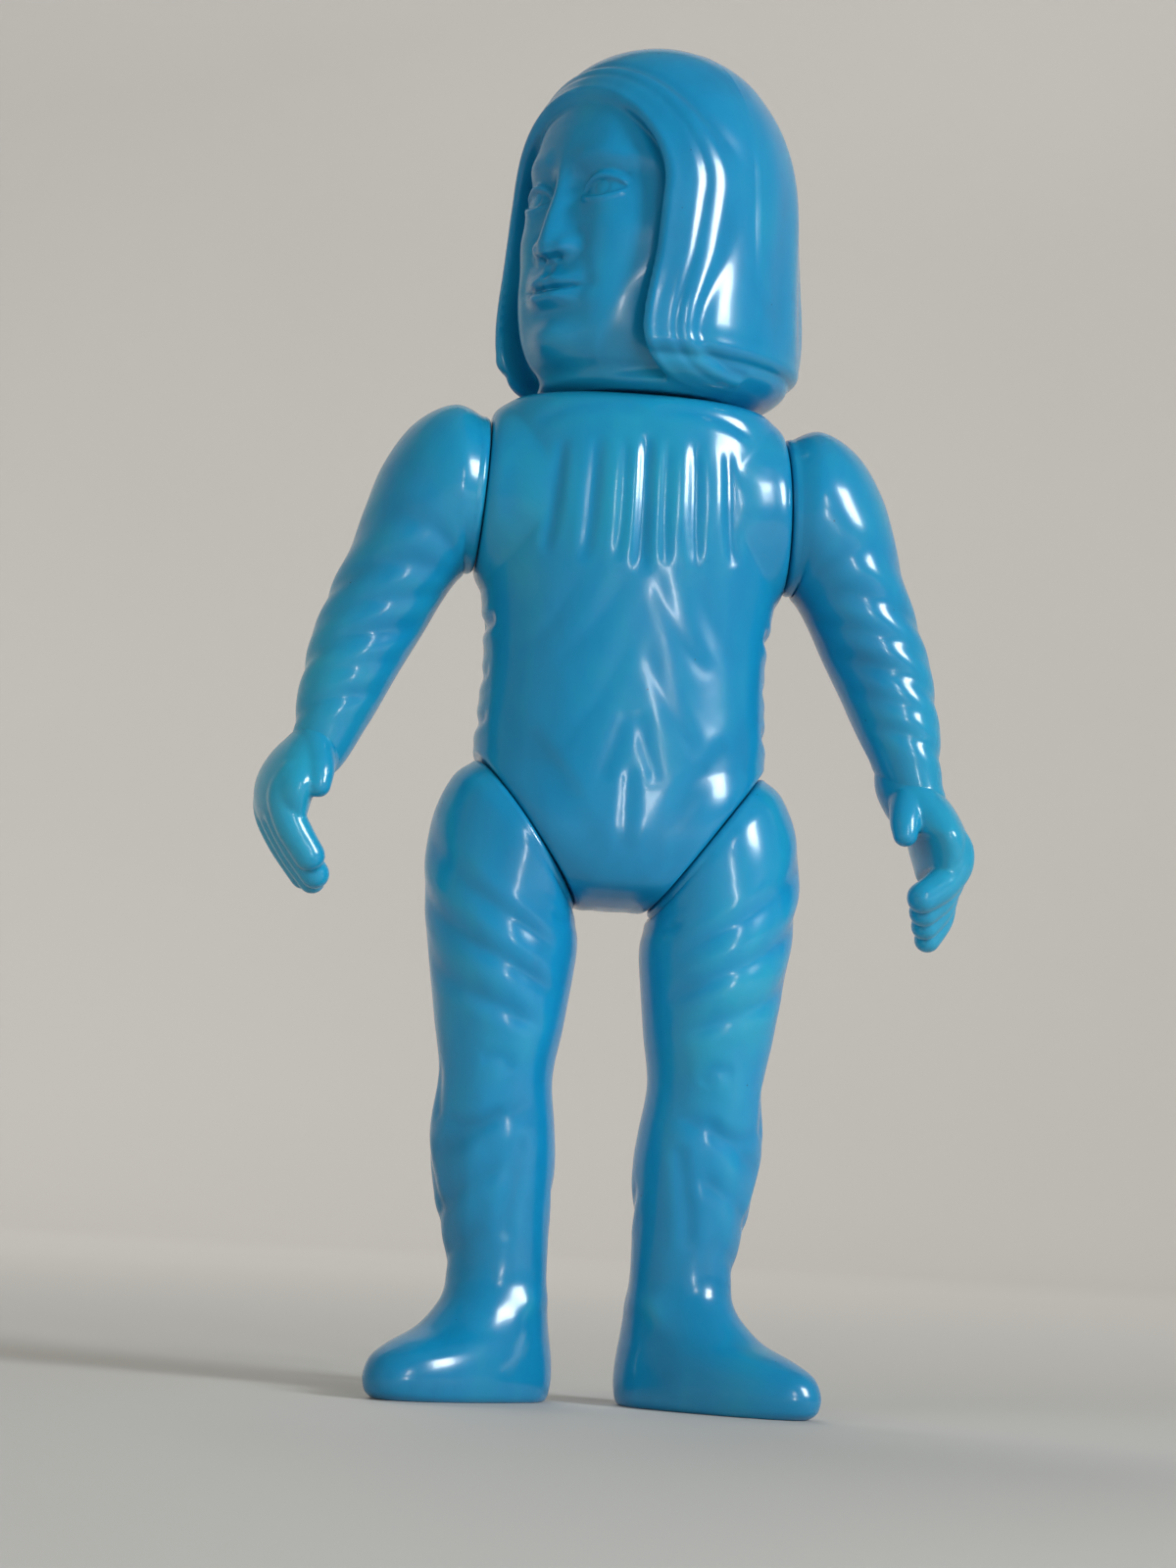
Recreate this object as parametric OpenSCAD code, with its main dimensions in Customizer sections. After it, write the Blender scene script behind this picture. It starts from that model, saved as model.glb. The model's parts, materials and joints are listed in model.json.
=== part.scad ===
// Hollow soft-vinyl standing figure: a hooded head, a torso, two arms and two legs.
// Each piece is one thin-walled casting. The head, arms and legs turn on round
// push-in joints: a grooved neck with a flange that snaps into a round hole.
// Millimetres, +Z up, figure faces -Y, origin on the ground under the middle.

/* [Casting] */
// Thickness of every casting's wall
wall = 2.2; // [1.8:0.1:2.8]
// Gap between the two faces of a turning joint
joint_gap = 0.3; // [0.2:0.05:0.5]
// Radial clearance of a joint's neck in its hole
running_clearance = 0.08; // [0.02:0.01:0.1]

/* [Torso] */
// Width across the two shoulder faces
shoulder_span = 52.4; // [48:0.5:64]
// Depth of the chest
chest_depth = 38; // [34:0.5:46]
// Height from the crotch to the collar
torso_height = 88; // [73.5:0.5:106]
// Distance of the shoulder joints below the collar
shoulder_drop = 17.5; // [16:0.5:22]
// Tilt of the shoulder faces, inwards at the top
shoulder_tilt = 3; // [0:1:6]

/* [Head] */
// Height of the head
head_height = 64; // [53:0.5:77]
// Width of the hood
head_width = 53; // [46:0.5:64]
// Depth of the hood
head_depth = 54; // [46:0.5:65]
// How far the hood hangs back behind the neck joint
nape_drop_back = 1.5; // [0:0.1:3]
// Turn of the head, towards the figure's right
head_turn = 50; // [0:1:90]

/* [Arms] */
// Drop from the shoulder joint to the fingertips
arm_drop = 72; // [60:0.5:87]
// Diameter of the arm's joint face
shoulder_face = 29.6; // [24.6:0.2:35.6]
// Radius of the arm's joint neck
shoulder_neck = 8.4; // [7:0.1:10.1]

/* [Legs] */
// Height of the hip joint's middle above the ground
hip_height = 96.3; // [80:0.5:116]
// Distance between the middles of the two hip joints
hip_span = 30.3; // [28:0.1:34]
// Slope of the hip faces, down from upright
hip_tilt = 36.5; // [32:0.5:41]
// Diameter of the leg's joint face
hip_face = 31; // [28:0.2:32.6]
// Radius of the leg's joint neck
hip_neck = 9.2; // [7.6:0.1:9.6]
// Length of the foot
foot_length = 40; // [33:0.5:48]
// Angle that the toes turn out
toe_out = 47; // [30:1:60]

/* [Neck] */
// Radius of the neck stub on the collar
collar_neck = 9; // [7.5:0.1:10.8]

/* [Hidden] */
$fn = 64;
vinyl = "DodgerBlue";

// Joint plugs
flange_reach = 1.5;     // how far a flange stands out past its neck
flange_height = 1.4;    // straight part of a flange
flange_taper = 1.8;     // lead-in that eases it through the hole
flange_slack = 0.2;     // play of a flange behind the wall that it holds
flange_room = 0.4;      // free space around a flange, inside the casting
plug_wall = 2;          // wall of the hollow neck
mouth_hole_step = 0.6;  // a casting's opening is this much wider than the plug's bore
plug_root = wall - 0.3; // how deep a plug is rooted in its casting's wall

// Torso landmarks
crotch_below_hip = 12.4;
crotch_z = hip_height - crotch_below_hip;
collar_z = crotch_z + torso_height;
shoulder_x = shoulder_span / 2;
shoulder_z = collar_z - shoulder_drop;
hip_x = hip_span / 2;
shoulder_mid = [shoulder_x, 0, shoulder_z];
shoulder_out = [cos(shoulder_tilt), 0, sin(shoulder_tilt)];
hip_mid = [hip_x, 0, hip_height];
hip_out = [cos(hip_tilt), 0, -sin(hip_tilt)];
seat_margin = 3.4;  // flat seat around a joint hole, beyond the hole's edge
seat_blend = 5;     // width over which a flat seat runs out into the body

// Torso sections from the collar down: share of the height, half width as a share
// of half the shoulder span, half depth as a share of half the chest depth
torso_rows = [
    [1.000, 0.700, 0.660], [0.990, 0.850, 0.810], [0.966, 0.930, 0.890],
    [0.915, 0.985, 0.950], [0.860, 1.005, 0.985], [0.795, 1.015, 1.000],
    [0.725, 1.010, 1.000], [0.655, 0.990, 0.985], [0.570, 0.945, 0.945],
    [0.490, 0.925, 0.915], [0.400, 0.940, 0.920], [0.300, 0.960, 0.940],
    [0.200, 0.940, 0.950], [0.120, 0.840, 0.920], [0.050, 0.640, 0.800],
    [0.012, 0.420, 0.600], [0.000, 0.240, 0.340]];
torso_square = 2.6;  // roundness of a section: 2 is an ellipse, more is squarer

// Arm sections from the joint face to the fingertips, for an arm_drop of 69:
// outwards, back, down, slope of the section, half thickness, half breadth
arm_rows = [
    [1.5, 0, 0.0, 0, 14.8, 14.8], [4.2, 0, -0.8, 9, 15.4, 15.2],
    [7.0, 0, 1.8, 23, 14.3, 14.6], [9.4, 0, 6.0, 36, 12.4, 13.4],
    [11.0, 0.2, 10.5, 51, 10.6, 12.2], [12.6, 0.5, 14.8, 65, 9.6, 11.2],
    [15.4, 0.8, 20.5, 69, 9.5, 10.2], [18.8, 0.6, 27.5, 70, 8.5, 9.3],
    [22.2, 0.0, 35.6, 72, 6.9, 7.8], [25.0, -1.0, 44.0, 70, 5.3, 6.2],
    [28.6, -2.0, 48.2, 52, 4.9, 7.2], [31.8, -2.4, 52.6, 78, 4.5, 8.0],
    [31.0, -2.6, 59.2, 106, 4.0, 7.7], [28.0, -2.8, 65.2, 124, 3.3, 6.8],
    [26.4, -2.8, 67.4, 130, 2.3, 5.3]];
arm_tip = [25.7, -2.8, 68.9];
arm_rows_drop = 69;  // the arm_drop that the rows are drawn for
hollow_arm_rows = [3.4, 4, 5, 6, 7, 8];  // the cavity stops short of the hand
// Thumb: root, knuckle and tip, as outwards, back, down and radius
thumb_rows = [[27.0, -5.4, 44.6, 3.1], [26.2, -9.2, 47.6, 3.0], [26.8, -10.6, 50.6, 2.6]];

// Leg sections from the joint face to the ankle, for a hip height of 96.3:
// outwards, back, down, slope, turn towards the toes, half width, half depth front, back
leg_rows = [
    [1.0, 0, 0.8, 36.5, 0, 15.5, 15.5, 15.5], [2.1, 0, 2.4, 44, 0, 16.0, 15.7, 15.7],
    [3.3, 0, 6.5, 54, 0, 15.7, 15.5, 15.5], [3.6, 0, 11.6, 65, 0, 14.8, 15.1, 15.1],
    [3.4, 0, 17.1, 74, 0, 13.7, 14.5, 14.5], [3.1, 0, 24.3, 81, 5, 12.4, 13.6, 13.6],
    [2.8, 0.3, 32.8, 87, 12, 11.0, 12.0, 12.2], [2.7, 0.8, 41.5, 90, 20, 9.6, 10.6, 10.8],
    [2.6, 1.6, 49.8, 90, 28, 10.5, 9.8, 11.6], [2.2, 2.2, 56.0, 90, 34, 10.6, 9.5, 11.8],
    [1.2, 2.6, 64.3, 90, 40, 9.6, 9.1, 10.4], [0.2, 2.9, 71.0, 90, 44, 8.7, 8.9, 9.2],
    [-0.3, 3.0, 75.6, 90, 47, 8.3, 9.6, 8.8]];
leg_rows_height = 96.3;  // the hip_height that the rows are drawn for
leg_rows_toe_out = 47;   // the toe_out that the rows are drawn for
ankle_row = [-0.4, 3.0];  // outwards and back, where the foot hangs under the leg
// Foot sections above the sole: height, half width, front reach and heel reach,
// the reaches as shares of the foot's length
foot_rows = [
    [17.4, 8.3, 0.285, 0.222], [14.6, 8.4, 0.350, 0.228], [11.8, 8.7, 0.450, 0.238],
    [9.3, 9.2, 0.610, 0.248], [7.0, 9.6, 0.715, 0.254], [4.0, 9.8, 0.755, 0.256],
    [1.5, 9.5, 0.745, 0.248], [0.4, 9.0, 0.715, 0.238], [0.0, 8.4, 0.690, 0.224]];
toe_swell = 0.16;  // how much wider the foot is towards the toes
hollow_leg_rows = [3, 4, 5, 6, 7, 8, 9, 10, 11, 12];
hollow_foot_rows = [1, 3, 4];
rim = 1.2;  // rounding of a joint face's edge

// Hood sections from the crown down: share of the height, half width and half depth
// as shares of half the head's width and depth
hood_rows = [
    [0.998, 0.100, 0.100], [0.985, 0.230, 0.240], [0.955, 0.380, 0.400],
    [0.910, 0.520, 0.550], [0.850, 0.645, 0.680], [0.785, 0.755, 0.790],
    [0.710, 0.840, 0.875], [0.630, 0.895, 0.930], [0.540, 0.925, 0.960],
    [0.450, 0.940, 0.980], [0.360, 0.960, 0.990], [0.270, 0.980, 1.000],
    [0.190, 0.995, 1.000], [0.125, 0.995, 0.990], [0.070, 0.950, 0.945],
    [0.025, 0.850, 0.845], [0.000, 0.710, 0.710]];
hood_square = 2.1;
face_inset = 2.0;      // how far the face lies back inside the hood's edge
face_half_width = 18;  // of the opening at the cheeks
face_top = 0.80;       // top of the opening, as a share of the head's height
nose_reach = 4.6;      // how far the nose stands out of the face
nose_half = [0.6, 5];  // from the middle of the nose to where its side starts and ends
nose_base = [0.25, 0.31];    // shares of the head's height where the nose's underside falls
nose_bridge = [0.32, 0.60];  // shares between which the ridge runs up into the brow

// Mesh counts
ring_points = 24;
trunk_points = 40;
head_points = 56;
head_front_share = 1.5;  // crowds the head's points towards the face

// ---- maths -------------------------------------------------------------
function ease(a, b, x) = let (t = max(0, min(1, (x - a) / (b - a)))) t * t * (3 - 2 * t);
function power(v, e) = sign(v) * pow(abs(v), e);

// A row between the rows of a table, on a smooth curve through them
function row_at(rows, t) =
    let (n = len(rows), i = min(floor(t), n - 2), u = t - i,
         a = rows[max(0, i - 1)], b = rows[i], c = rows[i + 1], d = rows[min(n - 1, i + 2)])
    b + u * (0.5 * (c - a) + u * ((a - 2.5 * b + 2 * c - 0.5 * d) + u * 0.5 * (3 * b - 3 * c + d - a)));

// A section in the plane whose normal slopes down by slope from sideways,
// turned by turn in that plane; front and back half depths may differ
function section(mid, slope, turn, half_w, front, back, swell, n) =
    let (across = [sin(slope), 0, cos(slope)], along = [0, 1, 0])
    [for (i = [0:n - 1])
        let (a = 360 * i / n,
             w = half_w * sin(a) * (1 - swell * cos(a)),
             d = (cos(a) < 0 ? front : back) * cos(a),
             x = w * cos(turn) - d * sin(turn),
             y = w * sin(turn) + d * cos(turn))
        mid + across * x + along * y];

// A ring of the given radius around a joint's axis
function joint_ring(mid, slope, radius, n) = section(mid, slope, 0, radius, radius, radius, 0, n);

// Faces of a thin-walled cup: outer rings from the mouth to a tip, then inner rings
// from the mouth to an inner tip
function strip(a, b, n) = [for (i = [0:n - 1])
    let (j = (i + 1) % n) each [[a + i, b + i, b + j], [a + i, b + j, a + j]]];
function fan(a, tip, n) = [for (i = [0:n - 1]) [a + i, tip, a + (i + 1) % n]];
function flip(faces) = [for (f = faces) [f[2], f[1], f[0]]];
function cup_faces(outer, inner, n) =
    let (first_in = outer * n + 1)
    concat(
        [for (k = [0:outer - 2]) each strip(k * n, (k + 1) * n, n)],
        fan((outer - 1) * n, outer * n, n),
        flip([for (k = [0:inner - 2]) each strip(first_in + k * n, first_in + (k + 1) * n, n)]),
        flip(fan(first_in + (inner - 1) * n, first_in + inner * n, n)),
        flip(strip(0, first_in, n)));

module cup(outer, outer_tip, inner, inner_tip) {
    n = len(outer[0]);
    polyhedron(
        points = concat([for (r = outer) each r], [outer_tip], [for (r = inner) each r], [inner_tip]),
        faces = cup_faces(len(outer), len(inner), n));
}

// ---- joints ------------------------------------------------------------
// Grooved neck with a flange, along +Z from the face of its own casting
module plug(neck) {
    groove = joint_gap + wall + flange_slack;
    bore = neck - plug_wall;
    rotate_extrude()
        polygon([
            [bore, -plug_root], [neck, -plug_root], [neck, groove],
            [neck + flange_reach, groove], [neck + flange_reach, groove + flange_height],
            [neck - 0.5, groove + flange_height + flange_taper],
            [bore, groove + flange_height + flange_taper]]);
}

// Places its children's +Z along a sideways joint axis, into the torso
module facing_torso(mid, slope) {
    translate(mid) rotate([0, slope - 90, 0]) children();
}

// Round hole for a plug, through a wall that starts at z = 0, with room for the flange
module hole(neck) {
    translate([0, 0, -wall]) cylinder(r = neck + running_clearance, h = 3 * wall);
    translate([0, 0, wall + flange_slack / 2])
        cylinder(r = neck + flange_reach + flange_room, h = flange_height + flange_taper + flange_room);
}

// ---- torso -------------------------------------------------------------
// Draws a point onto a joint's flat seat, and keeps it behind the joint's face
function seated(p, mid, out, flat, depth) =
    let (v = p - mid + out * depth, d = v * out, r = norm(v - out * d),
         near = abs(d) < flat ? 1 - ease(flat, flat + seat_blend, r) : 0,
         kept = d * (1 - near))
    p + out * (min(kept, 0) - d);
function seated_all(p, depth) =
    let (side = p[0] < 0 ? -1 : 1, q = [abs(p[0]), p[1], p[2]],
         s = seated(q, shoulder_mid, shoulder_out, shoulder_neck + seat_margin, depth),
         h = seated(s, hip_mid, hip_out, hip_neck + seat_margin, depth))
    [side * h[0], h[1], h[2]];

function torso_ring(row, inset) =
    let (z = crotch_z + torso_height * row[0],
         w = shoulder_x * row[1] - inset, d = chest_depth / 2 * row[2] - inset)
    [for (i = [0:trunk_points - 1])
        let (a = 360 * i / trunk_points)
        seated_all([w * power(sin(a), 2 / torso_square), d * power(cos(a), 2 / torso_square), z], inset)];

module torso() {
    mouth = collar_neck - plug_wall + mouth_hole_step;
    top = [0, 0, collar_z];
    rows = len(torso_rows);
    outer = concat(
        [joint_ring(top, 90, mouth, trunk_points)],
        [for (t = [0:1:rows - 1]) torso_ring(row_at(torso_rows, t), 0)]);
    hollow = [for (t = [3:1:rows - 4])
        torso_ring(row_at(torso_rows, t), wall)];
    floor_row = torso_rows[rows - 3];
    inner = concat(
        [joint_ring(top - [0, 0, wall], 90, mouth, trunk_points)],
        [[for (p = torso_ring(torso_rows[1], wall)) [p[0], p[1], collar_z - wall]]],
        hollow,
        [[for (p = torso_ring(floor_row, wall)) p + [0, 0, wall]]]);
    color(vinyl) difference() {
        union() {
            cup(outer, [0, 0, crotch_z], inner, [0, 0, crotch_z + torso_height * floor_row[0] + wall]);
            translate(top) plug(collar_neck);
        }
        for (side = [0, 1]) mirror([side, 0, 0]) {
            facing_torso(shoulder_mid, -shoulder_tilt) hole(shoulder_neck);
            facing_torso(hip_mid, hip_tilt) hole(hip_neck);
        }
    }
}

// ---- head --------------------------------------------------------------
// Angles crowded towards the face, which looks along -Y
function head_angle(i) =
    let (u = 2 * i / head_points - 1) 180 * u * (1 - (1 - 1 / head_front_share) * (1 - u * u));

// How far inside the face opening a point of the front lies, in mm
function face_depth(x, z) =
    let (arch = head_height * face_top, spring = arch - face_half_width,
         r = z > spring ? norm([x, z - spring]) : abs(x))
    face_half_width - r;

function head_point(row, a, inset) =
    let (z = head_height * row[0],
         x = (head_width / 2 * row[1] - inset) * power(sin(a), 2 / hood_square),
         y = -(head_depth / 2 * row[2] - inset) * power(cos(a), 2 / hood_square),
         front = y < 0 && inset == 0,
         opening = front ? ease(-0.5, 1.8, face_depth(x, z)) : 0,
         ridge = (1 - ease(nose_half[0], nose_half[1], abs(x)))
             * (1 - ease(nose_bridge[0], nose_bridge[1], row[0])) * ease(nose_base[0], nose_base[1], row[0]),
         nose = front ? nose_reach * ridge : 0)
    [x, y + nape_drop_back + opening * face_inset - nose * opening, z];

function head_ring(row, inset) = [for (i = [0:head_points - 1]) head_point(row, head_angle(i), inset)];

module head() {
    mouth = collar_neck - mouth_hole_step;
    rows = len(hood_rows);
    outer = concat(
        [[for (i = [0:head_points - 1]) mouth * [sin(head_angle(i)), -cos(head_angle(i)), 0]]],
        [for (t = [rows - 1:-0.5:0]) head_ring(row_at(hood_rows, t), 0)]);
    hollow = [for (t = [rows - 4:-1.5:3]) head_ring(row_at(hood_rows, t), wall + face_inset)];
    inner = concat(
        [[for (i = [0:head_points - 1]) [mouth * sin(head_angle(i)), -mouth * cos(head_angle(i)), wall]]],
        [[for (p = head_ring(hood_rows[rows - 1], wall + face_inset)) [p[0], p[1], wall]]],
        hollow);
    color(vinyl) translate([0, 0, collar_z + joint_gap]) rotate(-head_turn) difference() {
        cup(outer, [0, nape_drop_back, head_height], inner, [0, nape_drop_back, head_height * 0.93]);
        hole(collar_neck);
    }
}

// ---- arms --------------------------------------------------------------
function arm_point(v) = shoulder_mid + joint_gap * shoulder_out + [v[0], v[1], -v[2] * arm_drop / arm_rows_drop];
function arm_ring(row, inset) =
    section(arm_point(row), row[3] - (row[3] < 20 ? shoulder_tilt : 0), 0,
        row[4] - inset, row[5] - inset, row[5] - inset, 0, ring_points);

module thumb() {
    for (k = [0, 1]) hull() for (r = [thumb_rows[k], thumb_rows[k + 1]])
        translate(arm_point(r)) sphere(r = r[3], $fn = 16);
}

module arm() {
    face = shoulder_mid + joint_gap * shoulder_out;
    mouth = shoulder_neck - plug_wall + mouth_hole_step;
    half = shoulder_face / 2;
    outer = concat(
        [joint_ring(face, -shoulder_tilt, mouth, ring_points),
         joint_ring(face, -shoulder_tilt, half - rim, ring_points),
         joint_ring(face + shoulder_out * rim * 0.3, -shoulder_tilt, half - rim * 0.3, ring_points)],
        [for (t = [0:0.5:len(arm_rows) - 1]) arm_ring(row_at(arm_rows, t), 0)]);
    inner = concat(
        [joint_ring(face + shoulder_out * wall, -shoulder_tilt, mouth, ring_points),
         joint_ring(face + shoulder_out * wall, -shoulder_tilt, half - wall, ring_points)],
        [for (t = hollow_arm_rows) arm_ring(row_at(arm_rows, t), wall)]);
    color(vinyl) union() {
        cup(outer, arm_point(arm_tip), inner, arm_point(row_at(arm_rows, 8.5)));
        facing_torso(face, -shoulder_tilt) plug(shoulder_neck);
        thumb();
    }
}

// ---- legs --------------------------------------------------------------
function leg_point(v) =
    hip_mid + joint_gap * hip_out + [v[0], v[1], -v[2] * hip_height / leg_rows_height];
function leg_ring(row, inset) =
    section(leg_point(row), row[3], row[4] * toe_out / leg_rows_toe_out,
        row[5] - inset, row[6] - inset, row[7] - inset, 0, ring_points);
function foot_ring(row, inset) =
    let (mid = hip_mid + joint_gap * hip_out)
    section([mid[0] + ankle_row[0], ankle_row[1], row[0]], 90, toe_out,
        row[1] - inset, row[2] * foot_length - inset, row[3] * foot_length - inset,
        toe_swell * ease(20, 8, row[0]), ring_points);

module leg() {
    face = hip_mid + joint_gap * hip_out;
    mouth = hip_neck - plug_wall + mouth_hole_step;
    half = hip_face / 2;
    sole = len(foot_rows) - 1;
    outer = concat(
        [joint_ring(face, hip_tilt, mouth, ring_points),
         joint_ring(face, hip_tilt, half - rim, ring_points),
         joint_ring(face + hip_out * rim * 0.3, hip_tilt, half - rim * 0.3, ring_points)],
        [for (t = [0:0.5:len(leg_rows) - 1]) leg_ring(row_at(leg_rows, t), 0)],
        [for (row = foot_rows) foot_ring(row, 0)]);
    inner = concat(
        [joint_ring(face + hip_out * wall, hip_tilt, mouth, ring_points),
         joint_ring(face + hip_out * wall, hip_tilt, half - wall, ring_points)],
        [for (t = hollow_leg_rows) leg_ring(row_at(leg_rows, t), wall)],
        [for (t = hollow_foot_rows) foot_ring(foot_rows[t] + [0, 0, -0.03, 0], wall)],
        [[for (p = foot_ring(foot_rows[sole - 2], wall)) [p[0], p[1], wall]]]);
    ankle = face + [ankle_row[0], ankle_row[1], 0];
    color(vinyl) union() {
        cup(outer, [ankle[0], ankle[1], 0], inner, [ankle[0], ankle[1], wall]);
        facing_torso(face, hip_tilt) plug(hip_neck);
    }
}

module figures_left() { children(); }
module figures_right() { mirror([1, 0, 0]) children(); }

torso();
head();
figures_right() arm();  // right_arm
figures_left() arm();  // left_arm
figures_right() leg();  // right_leg
figures_left() leg();  // left_leg
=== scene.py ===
# Hollow soft-vinyl standing figure: the finish and sculpted surface of its six castings.
import json
import bpy
import numpy as np
from mathutils import Matrix


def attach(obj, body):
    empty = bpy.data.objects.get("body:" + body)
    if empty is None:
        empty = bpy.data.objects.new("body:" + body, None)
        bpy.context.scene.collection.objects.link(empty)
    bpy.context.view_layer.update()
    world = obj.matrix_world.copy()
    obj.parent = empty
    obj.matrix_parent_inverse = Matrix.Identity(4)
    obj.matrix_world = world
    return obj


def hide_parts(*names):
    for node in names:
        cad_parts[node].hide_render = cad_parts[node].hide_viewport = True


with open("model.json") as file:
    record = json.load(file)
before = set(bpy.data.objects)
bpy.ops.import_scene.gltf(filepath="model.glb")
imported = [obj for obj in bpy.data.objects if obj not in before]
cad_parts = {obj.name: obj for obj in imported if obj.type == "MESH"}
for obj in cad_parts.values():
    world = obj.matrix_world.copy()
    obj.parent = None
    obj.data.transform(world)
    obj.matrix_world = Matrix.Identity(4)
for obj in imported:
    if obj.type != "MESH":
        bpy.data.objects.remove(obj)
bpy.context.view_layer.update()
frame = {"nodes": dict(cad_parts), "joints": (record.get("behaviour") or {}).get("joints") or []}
joints = {j["name"]: (np.array(j["pos_m"]) * 1000, np.array(j["axis"])) for j in frame["joints"]}
print("frame loaded:", ", ".join(sorted(frame["nodes"])))

# Shapes are worked out in millimetres and turned into metres when a mesh is made.
mm = 0.001
casting = dict(wall=2.2, limbSlack=0.5, gap=0.16, clearance=0.08, plugWall=2.0, tipTaper=0.5, flangeReach=1.5,
               flangeHeight=1.4, flangeTaper=1.8, flangeSlack=0.2, flangeRoom=0.4, seatEase=5)
up = np.array([0.0, 0.0, 1.0])


def smooth(a, b, x):
    # t * t * (3 - 2t), t = (x - a) / (b - a) held between 0 and 1
    t = np.clip((x - a) / (b - a), 0, 1)
    return t * t * (3 - 2 * t)


def hump(x, middle, width):
    # exp(-((x - middle) / width)^2)
    return np.exp(-((x - middle) / width) ** 2)


def power(v, e):
    # |v|^e with the sign of v
    return np.sign(v) * np.abs(v) ** e


def fullTurn(count):
    # angles evenly once round, without the last one that repeats the first
    return np.linspace(0, 2 * np.pi, count, endpoint=False)


def roundedOval(w, d, square, a):
    # x = w sign(sin a)|sin a|^(2/n), y = d sign(cos a)|cos a|^(2/n), n = square
    return w * power(np.sin(a), 2 / square), d * power(np.cos(a), 2 / square)


def unitOf(v):
    # v over its length
    return v / np.linalg.norm(v, axis=-1, keepdims=True)


def reached(steps):
    # way run at each point: 0, then the running sum of the steps
    return np.concatenate([[0], np.cumsum(steps)])


def turnedBy(degrees):
    # rows (cos, sin, 0), (-sin, cos, 0), (0, 0, 1): a point times this turns about the upright axis
    c, k = np.cos(np.radians(degrees)), np.sin(np.radians(degrees))
    return np.array([[c, k, 0], [-k, c, 0], [0, 0, 1]])


def newObject(name, data):
    # an object at the origin that carries this data
    thing = bpy.data.objects.new(name, data)
    bpy.context.scene.collection.objects.link(thing)
    return thing


def rowsAt(rows, t):
    # Catmull-Rom curve through the rows: b + u((c - a)/2 + u((2a - 5b + 4c - d)/2 + u(3b - 3c + d - a)/2))
    rows = np.asarray(rows, float)
    i = np.clip(np.floor(t).astype(int), 0, len(rows) - 2)
    u = (t - i)[:, None]
    a, b, c, d = (rows[np.clip(i + k, 0, len(rows) - 1)] for k in (-1, 0, 1, 2))
    return b + u * (0.5 * (c - a) + u * ((a - 2.5 * b + 2 * c - 0.5 * d) + u * 0.5 * (3 * b - 3 * c + d - a)))


def evenly(ringsOf, first, last, count, trial=400, crowd=lambda z: 1):
    # t from first to last, spread so that the widest step between rings times crowd(height) is even
    t = np.linspace(first, last, trial)
    rings = ringsOf(t)
    step = np.linalg.norm(np.diff(rings, axis=0), axis=2).max(axis=1)
    reach = reached(step * crowd((rings[1:, 0, 2] + rings[:-1, 0, 2]) / 2))
    return np.interp(np.linspace(0, reach[-1], count), reach, t)


def ovals(mid, slope, turn, wide, front, back, swell, a):
    # point = mid + across (w cos turn - d sin turn) + along (w sin turn + d cos turn)
    # w = wide sin a (1 - swell cos a), d = cos a times the back or front half depth
    # across = (sin slope, 0, cos slope), along = (0, 1, 0)
    slope, turn = np.radians(slope)[:, None], np.radians(turn)[:, None]
    across = np.stack([np.sin(slope), 0 * slope, np.cos(slope)], -1)
    w = wide[:, None] * np.sin(a) * (1 - swell[:, None] * np.cos(a))
    d = np.where(np.cos(a) < 0, front[:, None], back[:, None]) * np.cos(a)
    x = w * np.cos(turn) - d * np.sin(turn)
    y = w * np.sin(turn) + d * np.cos(turn)
    return mid[:, None] + across * x[..., None] + np.array([0, 1, 0]) * y[..., None]


def circles(axisPoint, out, radii, heights, a):
    # point = axisPoint + out h + r (side sin a + back cos a), one circle for each pair of r and h
    side = np.cross([0, 1, 0], out)
    around = np.sin(a)[:, None] * side + np.cos(a)[:, None] * np.array([0, 1, 0])
    radii, heights = np.asarray(radii, float)[:, None, None], np.asarray(heights, float)[:, None, None]
    return axisPoint + heights * out + radii * around


def outward(grid):
    # unit normal = (step around x step along) / its length, turned away from the middle of its ring
    around = np.roll(grid, -1, 1) - np.roll(grid, 1, 1)
    n = np.cross(around, np.gradient(grid, axis=0))
    n /= np.maximum(np.linalg.norm(n, axis=2, keepdims=True), 1e-9)
    away = ((grid - grid.mean(axis=1, keepdims=True)) * n).sum()
    return n if away > 0 else -n


def ringQuads(rows, columns):
    # corners of the quads between neighbouring rings, numbered row by row, each ring closed on itself
    i, j = np.arange(rows - 1)[:, None] * columns, np.arange(columns)[None, :]
    k = (j + 1) % columns
    return np.stack([i + j, i + k, i + columns + k, i + columns + j], -1).reshape(-1, 4)


def closedMesh(name, rings, firstPole, lastPole, relief=None):
    # quads between neighbouring rings and triangles to the two poles
    # the sign of the volume, a sum of a . (b x c) / 6, tells which side is out
    rows, columns = rings.shape[:2]
    points = np.concatenate([rings.reshape(-1, 3), [firstPole], [lastPole]])
    quads = ringQuads(rows, columns)
    c, lastRow = np.arange(columns), (rows - 1) * columns
    caps = np.concatenate([
        np.stack([np.full(columns, rows * columns), (c + 1) % columns, c], -1),
        np.stack([np.full(columns, rows * columns + 1), lastRow + c, lastRow + (c + 1) % columns], -1)])
    p = points[np.concatenate([quads[:, :3], quads[:, [0, 2, 3]], caps])]
    if (p[:, 0] * np.cross(p[:, 1], p[:, 2])).sum() < 0:
        quads, caps = quads[:, ::-1], caps[:, ::-1]
    mesh = bpy.data.meshes.new(name)
    mesh.from_pydata((points * mm).tolist(), [], quads.tolist() + caps.tolist())
    mesh.validate()
    if relief is not None:
        # height of the sculpting at each point: 0 on the rows before it and at the poles
        values = np.zeros(len(points))
        values[(rows - len(relief)) * columns:-2] = relief.ravel()
        # the vinyl material reads this height to paint shade into the creases and sheen onto the raised folds
        mesh.attributes.new("relief", "FLOAT", "POINT").data.foreach_set("value", values)
    return newObject(name, mesh)


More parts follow.
